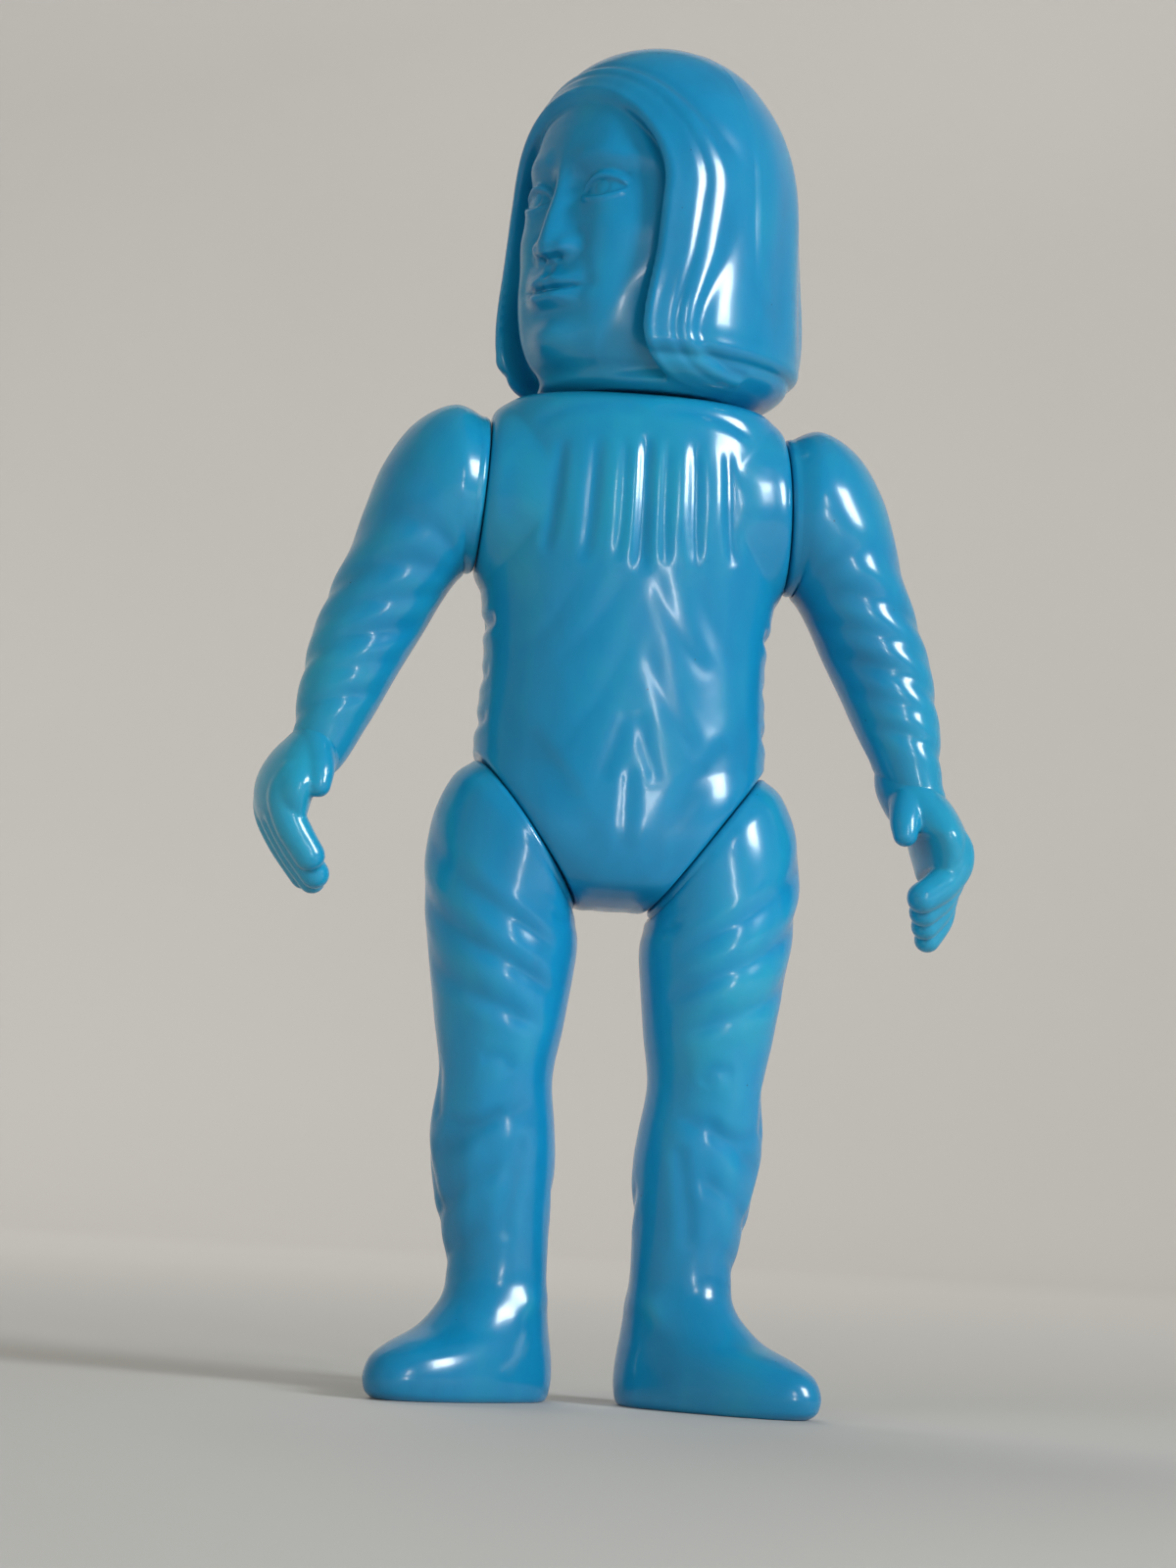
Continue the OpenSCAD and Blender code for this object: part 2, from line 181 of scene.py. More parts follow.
def settled(piece):
    # the piece's modifiers are worked into its mesh
    shaped = bpy.data.meshes.new_from_object(piece.evaluated_get(bpy.context.evaluated_depsgraph_get()))
    old = piece.data
    piece.modifiers.clear()
    piece.data = shaped
    bpy.data.meshes.remove(old)
    return piece


def combined(piece, other, operation):
    # piece joined with other, or cut by it
    change = piece.modifiers.new(operation, "BOOLEAN")
    change.operation, change.solver, change.object = operation, "MANIFOLD", other
    settled(piece)
    bpy.data.objects.remove(other)
    return piece


def ringPlaces(grid):
    # around = distance along the ring from its front column, from minus half to plus half its length
    step = np.linalg.norm(np.roll(grid, -1, 1) - grid, axis=2)
    reach = np.concatenate([np.zeros((len(grid), 1)), np.cumsum(step, axis=1)], axis=1)
    length = reach[:, -1:]
    return reach[:, :-1] - length / 2, length


def wrapped(v, length):
    # v brought between minus half and plus half of the ring's length
    return v - length * np.round(v / length)


def sculpt(form, along, around, length):
    # height = sum of mounds, each h exp(-(u^2 + v^2)), and of creases
    # u, v: place from a mound's middle over its half length and half breadth
    # places: along in mm, around in parts of which form["around"] go to a ring
    height = np.zeros(around.shape)
    unit, middle = length / form["around"], (0, form["around"] / 2)
    for side in (1, -1) if form["bothSides"] else (1,):
        for a, b, longHalf, wideHalf, h in form["mounds"]:
            if side > 0 or b not in middle:
                u, v = (along - a) / longHalf, wrapped(around - side * b * unit, length) / wideHalf
                height += h * np.exp(-(u * u + v * v))
        for path, w, h in form["creases"]:
            if side > 0 or any(b not in middle for a, b in path):
                fine = rowsAt(path, np.linspace(0, len(path) - 1, 3 * len(path)))
                height += crease(fine, w, h, along, around, unit, length, side)
    return height


def crease(path, w, h, along, around, unit, length, side):
    # height = h fade (exp(-((r - 2.1 w) / 0.9 w)^2) / 4 - exp(-(r / w)^2)), r the distance to the line and
    # w its width, worked out on the rows that the line can reach; fade runs out towards its two ends
    low, high = path[:, 0].min() - 4 * w, path[:, 0].max() + 4 * w
    rows = np.flatnonzero((along[:, 0] > low) & (along[:, 0] < high))
    height = np.zeros(around.shape)
    if not len(rows):
        return height
    s, g, k, ring = along[rows], around[rows], unit[rows], length[rows]
    best, progress = np.full(g.shape, 1e9), np.zeros(g.shape)
    for i in range(len(path) - 1):
        (a0, b0), (a1, b1) = path[i], path[i + 1]
        pa, pb = a0 - s, wrapped(side * b0 * k - g, ring)
        da, db = a1 - a0, side * (b1 - b0) * k
        t = np.clip(-(pa * da + pb * db) / (da * da + db * db + 1e-9), 0, 1)
        r = np.hypot(pa + t * da, pb + t * db)
        closer = r < best
        best = np.where(closer, r, best)
        progress = np.where(closer, (i + t) / (len(path) - 1), progress)
    fade = smooth(0, 0.22, progress) * smooth(1, 0.78, progress)
    height[rows] = h * fade * (0.25 * hump(best, 2.1 * w, 0.9 * w) - hump(best, 0, w))
    return height


def oblique(a, tilt, first, last, width, depth):
    # fold that winds round a limb: along = a + tilt b / 100 + 0.9 sin(b / 40), b from first to last degrees
    return [(a + tilt * b / 100 + 0.9 * np.sin(b / 40), b) for b in np.linspace(first, last, 5)], width, depth


def plug(mid, out, neck, a):
    # rings of a hollow flanged neck, from the bore out to the tip and back to the joint face
    c = casting
    groove = c["gap"] + c["wall"] + c["flangeSlack"]
    bore, tip = neck - c["plugWall"], groove + c["flangeHeight"] + c["flangeTaper"]
    radii = [bore, bore, neck - c["tipTaper"], neck + c["flangeReach"], neck + c["flangeReach"], neck, neck]
    return circles(mid, out, radii, [-c["wall"], tip, tip, tip - c["flangeTaper"], groove, groove, 0], a)


def seated(p, mid, out, flat, depth):
    # d = distance in front of the joint's plane: drawn to 0 within flat of its middle, and never above 0
    v = p - mid + out * depth
    d = v @ out
    r = np.linalg.norm(v - d[..., None] * out, axis=-1)
    near = np.where(np.abs(d) < flat, 1 - smooth(flat, flat + casting["seatEase"], r), 0)
    return p + (np.minimum(d * (1 - near), 0) - d)[..., None] * out


def cutter(mid, inward, neck):
    # round hole for a plug with room for its flange behind the wall, as a closed stack of circles
    c = casting
    hole, room = neck + c["clearance"], neck + c["flangeReach"] + c["flangeRoom"]
    start = c["wall"] + c["flangeSlack"] / 2
    end = start + c["flangeHeight"] + c["flangeTaper"] + c["flangeRoom"]
    heights = [-2 * c["wall"], start, start, end]
    rings = circles(mid, inward, [hole, hole, room, room], heights, fullTurn(96))
    return closedMesh("hole", rings, mid + inward * heights[0], mid + inward * heights[-1])


vinylLook = dict(
    deep=(0.0036, 0.199, 0.402), blue=(0.0051, 0.24, 0.47), milky=(0.0136, 0.3, 0.476),
    # the last value on the next line paints shade into the creases and sheen onto the raised folds
    deepAt=0.36, blueAt=0.5, milkyAt=0.68, cloudSize=0.034, streakSize=0.01, streaks=0.18, creaseShadeAndRidgeSheen=0.2,
    # painted shade by height: share of the colour at a height in metres, darkest at the feet, full at the
    # thighs and knees, lower again on the body
    paintedShadeByHeight=[(0.0, 0.78), (0.02, 0.84), (0.042, 0.98), (0.084, 1.0), (0.108, 0.88)],
    # the hands are cast thin, and paler for it: how far out that starts and is strongest
    thin=(0.022, 0.33, 0.48), handsFrom=0.043, handsTo=0.058, thinHands=0.6,
    speck=(0.004, 0.06, 0.11), speckSize=0.006, speckEdge=0.03, speckCore=0.018,
    roughness=0.21, roughnessSpread=0.03, coat=0.15, coatRoughness=0.05, glossIndex=1.5,
    ripple=0.00002, rippleSize=0.0022, rippleStrength=0.35,
    subsurface=0.35, lightReach=0.0022, reachShares=(0.3, 0.7, 1.0))


def feed(tree, socket, value):
    # a link where the value is another node's output, a fixed value elsewhere
    if isinstance(value, bpy.types.NodeSocket):
        tree.links.new(value, socket)
    else:
        socket.default_value = value


def added(tree, kind, **inputs):
    # new node with these inputs, which returns its first output
    node = tree.nodes.new(kind)
    for key, value in inputs.items():
        feed(tree, node.inputs[key], value)
    return node.outputs[0]


def ranged(tree, value, low, high, first=0.0, last=1.0):
    # first + (last - first) (value - low) / (high - low), held between first and last
    return added(tree, "ShaderNodeMapRange", Value=value,
                 **{"From Min": low, "From Max": high, "To Min": first, "To Max": last})


def coloured(tree, value, stops):
    # colour that runs through the stops, each a value and a colour
    node = tree.nodes.new("ShaderNodeValToRGB")
    elements = node.color_ramp.elements
    while len(elements) < len(stops):
        elements.new(0.5)
    for element, (at, colour) in zip(elements, stops):
        element.position, element.color = at, (*colour, 1)
    tree.links.new(value, node.inputs["Fac"])
    return node.outputs["Color"]


def worked(tree, operation, *values):
    # the result of this operation on the values
    node = tree.nodes.new("ShaderNodeMath")
    node.operation = operation
    for socket, value in zip(node.inputs, values):
        feed(tree, socket, value)
    return node.outputs[0]


def mixedColour(tree, share, first, second, kind="MIX"):
    # first (1 - share) + second share, or for MULTIPLY first times second by that share
    node = tree.nodes.new("ShaderNodeMix")
    node.data_type, node.blend_type = "RGBA", kind
    for place, value in ((0, share), (6, first), (7, second)):
        feed(tree, node.inputs[place], value)
    return node.outputs[2]


def vinylMaterial():
    # base colour = ramp(clouds + relief, with painted crease shade and ridge sheen) x painted shade by
    # height, paler at the hands, with rare specks
    look = vinylLook
    m = bpy.data.materials.new("glossyBlueVinyl")
    m.use_nodes = True
    tree = m.node_tree
    shader = tree.nodes["Principled BSDF"]
    place = tree.nodes.new("ShaderNodeTexCoord").outputs["Object"]
    # slow clouds of milky and deep blue, stretched along the casting as the liquid vinyl ran
    stretched = added(tree, "ShaderNodeMapping", Vector=place, Scale=(1.0, 1.0, 0.45))
    clouds = added(tree, "ShaderNodeTexNoise", Vector=stretched, Scale=1 / look["cloudSize"], Detail=4.0,
                   Roughness=0.55, Distortion=0.6)
    streaks = added(tree, "ShaderNodeTexNoise", Vector=stretched, Scale=1 / look["streakSize"], Detail=3.0,
                    Roughness=0.5, Distortion=1.6)
    blend = added(tree, "ShaderNodeMix", Factor=look["streaks"], A=clouds, B=streaks)
    # painted shade in the creases and painted sheen on the raised folds: the relief height, scaled, is added
    # to the clouds
    relief = tree.nodes.new("ShaderNodeAttribute")
    relief.attribute_name = "relief"
    shaded = worked(tree, "MULTIPLY_ADD", relief.outputs["Fac"], look["creaseShadeAndRidgeSheen"], blend)
    cloudy = coloured(tree, shaded, [(look[name + "At"], look[name]) for name in ("deep", "blue", "milky")])
    # painted shade: the colour is darkened by height, most at the feet and a little on the body
    part = tree.nodes.new("ShaderNodeSeparateXYZ")
    tree.links.new(place, part.inputs[0])
    top = look["paintedShadeByHeight"][-1][0]
    tone = coloured(tree, ranged(tree, part.outputs["Z"], 0.0, top),
                    [(z / top, (share, share, share)) for z, share in look["paintedShadeByHeight"]])
    heightShaded = mixedColour(tree, 1.0, cloudy, tone, "MULTIPLY")
    outer = worked(tree, "ABSOLUTE", part.outputs["X"])
    hands = ranged(tree, outer, look["handsFrom"], look["handsTo"], 0.0, look["thinHands"])
    pale = mixedColour(tree, hands, heightShaded, (*look["thin"], 1))
    # rare dark specks caught in the vinyl
    specks = added(tree, "ShaderNodeTexVoronoi", Vector=place, Scale=1 / look["speckSize"])
    spots = ranged(tree, specks, look["speckEdge"], look["speckCore"])
    feed(tree, shader.inputs["Base Color"], mixedColour(tree, spots, pale, (*look["speck"], 1)))
    # gloss that varies a little, and a faint ripple of the cast skin
    low, high = look["roughness"] - look["roughnessSpread"], look["roughness"] + look["roughnessSpread"]
    feed(tree, shader.inputs["Roughness"], ranged(tree, streaks, 0.0, 1.0, low, high))
    skin = added(tree, "ShaderNodeTexNoise", Vector=place, Scale=1 / look["rippleSize"])
    bump = added(tree, "ShaderNodeBump", Height=skin, Strength=look["rippleStrength"],
                 Distance=look["ripple"])
    feed(tree, shader.inputs["Normal"], bump)
    for socket, value in {"IOR": "glossIndex", "Coat Weight": "coat", "Coat Roughness": "coatRoughness",
                          "Subsurface Weight": "subsurface", "Subsurface Scale": "lightReach",
                          "Subsurface Radius": "reachShares"}.items():
        shader.inputs[socket].default_value = look[value]
    return m


def finished(piece, body, node, angle=38):
    # name, smooth shading with edges sharp over angle, material and body, and the frame's part it replaces is
    # hidden
    piece.name = node + "Casting"
    piece.data.name = piece.name
    piece.data.shade_smooth()
    piece.data.set_sharp_from_angle(angle=np.radians(angle))
    piece.data.materials.clear()
    piece.data.materials.append(vinyl)
    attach(piece, body)
    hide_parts(node)
    print(piece.name, "made:", len(piece.data.polygons), "faces")


vinyl = vinylMaterial()
print("material made")


torsoShape = dict(
    height=88, halfSpan=26.2, halfDepth=19, square=2.3, neck=9, rows=300, columns=300,
    # share of the height, half width and half depth as shares of halfSpan and halfDepth
    sections=[
        (1, 0.7, 0.66), (0.99, 0.85, 0.81), (0.966, 0.93, 0.89), (0.915, 0.985, 0.95),
        (0.86, 1.005, 0.985), (0.795, 1.015, 1), (0.725, 1.01, 1), (0.655, 0.99, 0.985),
        (0.57, 0.945, 0.958), (0.49, 0.925, 0.945), (0.4, 0.94, 0.943), (0.3, 0.96, 0.944),
        (0.2, 0.94, 0.944), (0.12, 0.84, 0.92), (0.05, 0.63, 0.79), (0.02, 0.43, 0.59), (0.004, 0.21, 0.31),
        (0, 0.06, 0.09)],
    seats=[("left_shoulder", 8.4), ("left_hip", 9.2)], seatMargin=3.4, reliefEase=6)
# Places: mm above the crotch, then parts around the ring: 0 front, 37.5 side, 75 back
torsoForm = dict(
    around=150, bothSides=True,
    mounds=[
        (66, 0, 13, 12, 0.25), (27, 0, 15, 12, 0.3), (50, 36, 14, 6, 0.2), (68, 5.4, 9, 1.6, 0.26),
        (69, 11.6, 8, 1.7, 0.28), (69, 18, 7, 1.9, 0.22), (70, 64, 9, 7, 0.5), (13, 62, 9, 8, 0.8),
        (24, 68, 2.4, 2.4, -0.4)],
    # collar, pleats that fall from it, folds out to the flanks or in to the crotch, then the back
    creases=[
        ([(84.2, 0), (84.8, 7), (83.8, 15), (81, 21)], 1.2, 0.26),
        ([(81, 0), (72, 0), (63, 0.3), (55, 1)], 1.2, 0.34),
        ([(80, 3.4), (72, 3.2), (64, 3.4), (57, 4.4)], 0.9, 0.26),
        ([(80.5, 8.4), (72, 8.2), (64, 8.6), (57, 10)], 1, 0.34),
        ([(79.5, 14.4), (72, 14.2), (64, 15), (58, 17)], 1, 0.32),
        ([(77, 20.6), (70, 20.2), (63, 21.2)], 1.1, 0.24),
        ([(57, 2.4), (50, 5.4), (44, 9.6), (39, 15)], 1.5, 0.12),
        ([(57, 10.4), (50, 13.4), (44.5, 18), (41, 24)], 1.5, 0.11),
        ([(45, 1.2), (38, 4.2), (31, 8.4), (25, 13)], 1.4, 0.1),
        ([(33, 0.6), (27, 2.6), (20, 5.4)], 1.3, 0.16),
        ([(35, 27), (28, 21.4), (21, 15), (13.5, 8.8), (7, 3.8)], 2, 0.15),
        ([(29, 19), (23, 14), (16, 8.6)], 1.5, 0.16), ([(24, 0), (16, 0), (8, 0)], 1.2, 0.16),
        ([(48.6, 29), (47.6, 36), (48.8, 43)], 1.1, 0.62),
        ([(39.6, 31), (38.8, 37), (40.2, 44)], 1.1, 0.34),
        ([(31.6, 29.5), (30.8, 37), (32.4, 45)], 1.1, 0.46),
        ([(84, 75), (64, 75), (44, 75), (26, 75)], 2, 0.75),
        ([(77, 62), (68, 57), (60, 60), (57, 69)], 1.8, 0.5), ([(80, 50), (74, 56), (72, 66)], 1.5, 0.28),
        ([(64, 47), (53, 55), (43, 63), (34, 70)], 1.8, 0.4), ([(55, 46), (46, 53), (38, 60)], 1.5, 0.28),
        ([(21, 75), (13, 75), (4, 75)], 1.7, 0.9), ([(27, 48), (21, 55), (19, 66)], 1.7, 0.36)])


def makeTorso():
    # hollow lining, neck stub and skin as one stack of rings, then holes for the plugs of the four limbs
    s = torsoShape
    neckMid = joints["neck"][0]
    floor = neckMid[2] - s["height"]
    seats = [(joints[name][0], -joints[name][1], neck) for name, neck in s["seats"]]

    def onSeats(p, depth):
        # both seats of the +X side, and their mirror images
        side = np.where(p[..., :1] < 0, -1.0, 1.0) * np.array([1, 0, 0]) + np.array([0, 1, 1])
        q = p * side
        for mid, out, neck in seats:
            q = seated(q, mid, out, neck + s["seatMargin"], depth)
        return q * side

    def rings(t, inset=0.0):
        # rounded ovals inside the surface by inset, flat at the seats
        r = rowsAt(s["sections"], t)
        w, d = s["halfSpan"] * r[:, 1:2] - inset, s["halfDepth"] * r[:, 2:3] - inset
        z = floor + s["height"] * r[:, :1] + 0 * a
        return onSeats(np.stack([*roundedOval(w, d, s["square"], a), z], -1), inset)

    # columns evenly spread along a section
    fine = np.linspace(0, 2 * np.pi, 4001)
    ring = np.stack(roundedOval(s["halfSpan"], s["halfDepth"], s["square"], fine), -1)
    reach = reached(np.linalg.norm(np.diff(ring, axis=0), axis=1))
    a = np.interp(np.linspace(0, reach[-1], s["columns"], endpoint=False), reach, fine)

    last = len(s["sections"]) - 1
    grid = rings(evenly(rings, 0, last, s["rows"]))
    around, length = ringPlaces(grid)
    around = wrapped(around + length / 2, length)
    around = np.where(grid[..., 0] < 0, -1, 1) * (length / 2 - np.abs(around))
    above = grid[..., 2] - floor
    height = sculpt(torsoForm, above, around, length)
    height *= smooth(0, 3, above) * smooth(0, 4, s["height"] - above)
    holes = [(*seat, np.array([side, 1, 1])) for side in (1, -1) for seat in seats]
    for mid, out, neck, flip in holes:
        flat = neck + s["seatMargin"]
        height *= smooth(flat, flat + s["reliefEase"], np.linalg.norm(grid * flip - mid, axis=2))
    body = onSeats(grid + outward(grid) * height[..., None], 0)
    inner = rings(np.arange(1.0, last - 3, 1.0)[::-1], casting["wall"])
    inner[-1, :, 2] = neckMid[2] - casting["wall"]
    allRings = np.concatenate([inner, plug(neckMid, up, s["neck"], a), body])
    torso = closedMesh("torso", allRings, inner[0].mean(axis=0), [0, 0, floor], height)
    for mid, out, neck, flip in holes:
        combined(torso, cutter(mid * flip, -out * flip, neck), "DIFFERENCE")
    finished(torso, "torso", "torso")


makeTorso()


armShape = dict(
    # outwards, back and down from the joint face, slope of the section, half thickness, half breadth
    sections=[
        (1.5, 0, -0.1, -3, 13.7, 13.7), (4.2, 0, -0.9, 6, 14.5, 14.6), (7.3, 0, 1.1, 21, 13.7, 14.3),
        (10.2, 0, 5.2, 36, 11.8, 13.2), (12.2, 0.2, 9.9, 51, 10, 12), (14.1, 0.5, 14.6, 65, 9.1, 11),
        (16.9, 0.8, 20.4, 69, 8.9, 10), (19.9, 0.6, 27.4, 70, 8.1, 9.2), (22.7, 0, 35.5, 72, 6.8, 7.8),
        (25.3, -1, 44, 70, 5, 6), (27.2, -1.6, 47.2, 62, 4, 5),
        (28.4, -2, 49.6, 58, 2.4, 3.2)],
    drop=72 / 69, face=27.4, neck=8.4, rim=1.08, rows=240, columns=200)
# Places: mm along the arm from the joint face, then degrees around it: 0 front, 90 outer side, 180 back
armForm = dict(
    around=360, bothSides=False,
    mounds=[
        (11, 90, 9, 10, 0.25), (23, 15, 9, 7, 0.35), (24, 165, 9, 7, 0.3), (42, 40, 8, 5, 0.3),
        (42, -50, 8, 5, 0.25), (42, 125, 8, 5, 0.2), (35.5, 170, 3, 3.4, 0.45)],
    # folds round the sleeve, each lower on the outer side, then lines down the back of the arm
    creases=[
        oblique(14, 7.5, -60, 108, 1.7, 0.22), oblique(21.5, 9.5, -44, 150, 1.8, 0.37),
        oblique(28.6, 9, -80, 70, 1.4, 0.15), oblique(35, 8.5, -70, 140, 1.6, 0.4),
        oblique(41, 7, -64, 60, 1.2, 0.12), oblique(46.6, 5.5, -60, 120, 1.3, 0.3),
        ([(10, 180), (22, 172), (31, 176)], 1.3, 0.26), ([(38, -120), (44, -112), (50, -100)], 1.1, 0.26)])
hangingFinger = [(30.6, 49.4), (32, 52), (31.2, 56.2), (28, 61.2), (24.6, 65.6)]
# The right hand in the same places as the arm's sections
rightHand = dict(
    # outwards, back, down, slope, turn, half thickness, half breadth
    palm=[
        (23.4, -0.5, 38.6, 70, 0, 3.4, 4), (24.8, -0.9, 42.2, 66, -4, 4.6, 5.7),
        (26.6, -1.7, 45, 58, -12, 4.9, 7.4), (28.9, -2.4, 47.8, 58, -16, 4.9, 9),
        (30.6, -2.8, 50.8, 84, -16, 4.7, 9.7), (30.5, -2.9, 54, 108, -16, 4.3, 9.2),
        (29.6, -2.8, 56.8, 116, -16, 2.7, 7.6)],
    # outwards and down along the first finger and the last one; those between them lie evenly between
    firstFinger=hangingFinger, lastFinger=hangingFinger,
    # place across the hand, radius at the knuckle, share of the longest finger's reach
    fingers=[(-5.4, 3.1, 0.8), (-1.85, 3, 0.94), (1.8, 2.85, 1), (5.1, 2.65, 0.94)],
    across=-2.5, fan=0.26, gather=0.08, jointSwell=0.05, taper=0.16,
    # outwards, back, down, radius
    thumb=[
        (26.4, -2.8, 42, 3.2), (25.6, -6.1, 45.4, 3.1), (25.2, -8.5, 48.4, 2.7), (25.2, -9.5, 50.8, 2.2)],
    wrist=(26.0, -1.2, 43.0), twist=0, grow=1.0, move=(0, 0, 0), grain=0.28, melt=18)
# The left hand is turned to show its palm, and its fingers close towards the thigh, the first one most
leftHand = dict(
    rightHand, wrist=(25.0, -1.2, 43.0), twist=20, grow=1.03, move=(-1.3, 0.4, 0), fan=0.0,
    palm=[
        (23.4, -0.5, 38.6, 70, 0, 3.4, 4), (24.4, -0.9, 42.6, 68, -4, 4.4, 5.6),
        (26, -1.6, 45.8, 60, -12, 4.7, 7.2), (28.4, -2.3, 48.6, 58, -16, 4.9, 8.8),
        (30.5, -2.8, 51.6, 84, -16, 4.7, 9.7), (31, -2.9, 55, 104, -16, 4.2, 9.2),
        (30.8, -2.8, 58.2, 112, -16, 2.7, 7.6)],
    firstFinger=[(29.8, 52.2), (31.6, 54.2), (31.2, 57.2), (28.8, 60), (25.8, 62)],
    lastFinger=[(31.8, 52.4), (34, 56), (35.4, 60), (35, 64.2), (32.8, 67.8)],
    fingers=[(-5.4, 3.25, 1), (-1.85, 3.1, 1), (1.8, 2.95, 1), (5.1, 2.75, 1)],
    thumb=[
        (25.2, -2.6, 44.2, 3.2), (23.3, -5.2, 47.6, 3), (22.1, -6.9, 50.4, 2.6), (21.8, -7.6, 52.2, 2.15)])


def armPlace(mid, v):
    # joint face + outwards, back and minus down, with the down part drawn to the arm's length
    return mid + np.asarray(v) * np.array([1, 1, -armShape["drop"]])


def tube(name, path, radii, sides=28, capRows=7, capTip=0.0294):
    # rings square to the path: centre + r (sideways sin a + back cos a), each end closed by a half ball
    # end rings: radius r cos b, moved r sin b along the path, b up to 78 degrees, then capTip r to the tip
    path, radii = np.asarray(path, float), np.asarray(radii, float)
    along = unitOf(np.gradient(path, axis=0))
    b = np.radians(np.linspace(0, 78, capRows))
    path = np.concatenate([path[:1] - along[:1] * (radii[0] * np.sin(b[::-1]))[:, None], path[1:-1],
                           path[-1:] + along[-1:] * (radii[-1] * np.sin(b))[:, None]])
    along = np.concatenate([along[:1].repeat(capRows, 0), along[1:-1], along[-1:].repeat(capRows, 0)])
    first, last = capTip * radii[0], capTip * radii[-1]
    radii = np.concatenate([radii[0] * np.cos(b[::-1]), radii[1:-1], radii[-1] * np.cos(b)])
    side = unitOf(np.cross(along, [0, 1, 0]))
    back = np.cross(side, along)
    a = fullTurn(sides)[None, :, None]
    rings = path[:, None] + radii[:, None, None] * (side[:, None] * np.sin(a) + back[:, None] * np.cos(a))
    return closedMesh(name, rings, path[0] - along[0] * first, path[-1] + along[-1] * last)


def makeHand(face, h):
    # each point turned by twist about the upright line through the wrist, and drawn out from it by grow
    turned, wrist = turnedBy(h["twist"]) * h["grow"], armPlace(face, h["wrist"])

    def placed(p):
        # (p - wrist) turned and grown, + wrist + move
        return (p - wrist) @ turned + wrist + np.array(h["move"])

    rows = rowsAt(h["palm"], np.linspace(0, len(h["palm"]) - 1, 26))
    slope, turn, thick, broad = rows[:, 3:].T
    places = armPlace(face, rows[:, :3])
    rings = placed(ovals(places, slope, turn, thick, broad, broad, 0 * slope, fullTurn(48)))
    hand = closedMesh("hand", rings, rings[0].mean(axis=0), rings[-1].mean(axis=0))
    parts = [hand]
    first, final = np.array(h["firstFinger"]), np.array(h["lastFinger"])
    for i, (y, radius, share) in enumerate(h["fingers"]):
        u = np.linspace(0, share, 22)
        # line = first + (final - first) i / (number of fingers - 1)
        line = rowsAt(first + (final - first) * i / (len(h["fingers"]) - 1), u * (len(first) - 1))
        across = h["across"] + y * (1 - h["gather"] * u)
        # fingers further back on the hand stand further out by fan times their place across it
        path = armPlace(face, np.stack([line[:, 0] + h["fan"] * y, across, line[:, 1]], -1))
        # radius = knuckle radius (1 - taper u) (1 + swell at the two finger joints)
        swell = h["jointSwell"] * (hump(u / share, 0.42, 0.13) + hump(u / share, 0.74, 0.11))
        parts.append(tube("finger", placed(path), h["grow"] * radius * (1 - h["taper"] * u) * (1 + swell)))
    thumb = rowsAt(h["thumb"], np.linspace(0, len(h["thumb"]) - 1, 16))
    parts.append(tube("thumb", placed(armPlace(face, thumb[:, :3])), h["grow"] * thumb[:, 3]))
    with bpy.context.temp_override(active_object=hand, selected_editable_objects=parts, object=hand):
        bpy.ops.object.join()
    # one skin over all of them, melted together a little as cast vinyl is
    skin = hand.modifiers.new("skin", "REMESH")
    skin.mode, skin.voxel_size = "VOXEL", h["grain"] * mm
    soften = hand.modifiers.new("soften", "SMOOTH")
    soften.factor, soften.iterations = 0.5, h["melt"]
    return settled(hand)


def mirrored(piece, name):
    # x turned to minus x, and the faces turned over so that they still look out
    mesh = piece.data.copy()
    mesh.transform(Matrix.Diagonal((-1, 1, 1, 1)))
    mesh.flip_normals()
    return newObject(name, mesh)


def limbFace(joint):
    # middle of the limb's joint face and its outward direction
    mid, axis = joints[joint]
    return mid - axis * casting["gap"], -axis


def limbRelief(form, grid, along, face, out):
    # relief of the form, eased in from the joint face
    around, length = ringPlaces(grid)
    return sculpt(form, along, wrapped(-around, length), length) * smooth(1.5, 5, (grid - face) @ out)


def limbJoint(mid, out, s, a):
    # inner wall of the joint face, hollow plug, then a rim rounded by r: radius half - r + r sin b
    half, r = s["face"] / 2, s["rim"]
    turnIn = circles(mid, -out, [half - casting["wall"]], [-casting["wall"]], a)
    b = np.radians(np.linspace(0, 80, 6))
    rim = circles(mid, -out, half - r + r * np.sin(b), -r * (1 - np.cos(b)), a)
    return np.concatenate([turnIn, plug(mid, -out, s["neck"], a), rim])


def makeArms():
    # the left arm is a stack of ovals with its hand joined on; the right one mirrors it with its own hand
    s = armShape
    face, out = limbFace("left_shoulder")
    a = fullTurn(s["columns"])
    last = len(s["sections"]) - 1

    def rings(t, inset=0.0):
        # ovals inside the arm's surface by inset
        r = rowsAt(s["sections"], t)
        none, thick, broad = 0 * t, r[:, 4] - inset, r[:, 5] - inset
        return ovals(armPlace(face, r[:, :3]), r[:, 3], none, thick, broad, broad, none, a)

    grid = rings(evenly(rings, 0, last, s["rows"]))
    along = reached(np.linalg.norm(np.diff(grid.mean(axis=1), axis=0), axis=1))[:, None]
    height = limbRelief(armForm, grid, along, face, out)
    body = grid + outward(grid) * height[..., None]
    inner = rings(np.arange(8.0, 0, -1), casting["wall"] + casting["limbSlack"])
    allRings = np.concatenate([inner, limbJoint(face, out, s, a), body])
    arm = closedMesh("arm", allRings, inner[0].mean(axis=0), grid[-1].mean(axis=0), height)
    other, rightSource = mirrored(arm, "otherArm"), makeHand(face, rightHand)
    combined(arm, makeHand(face, leftHand), "UNION")
    combined(other, mirrored(rightSource, "otherHand"), "UNION")
    bpy.data.objects.remove(rightSource)
    finished(arm, "left_arm", "left_arm")
    finished(other, "right_arm", "right_arm")


makeArms()


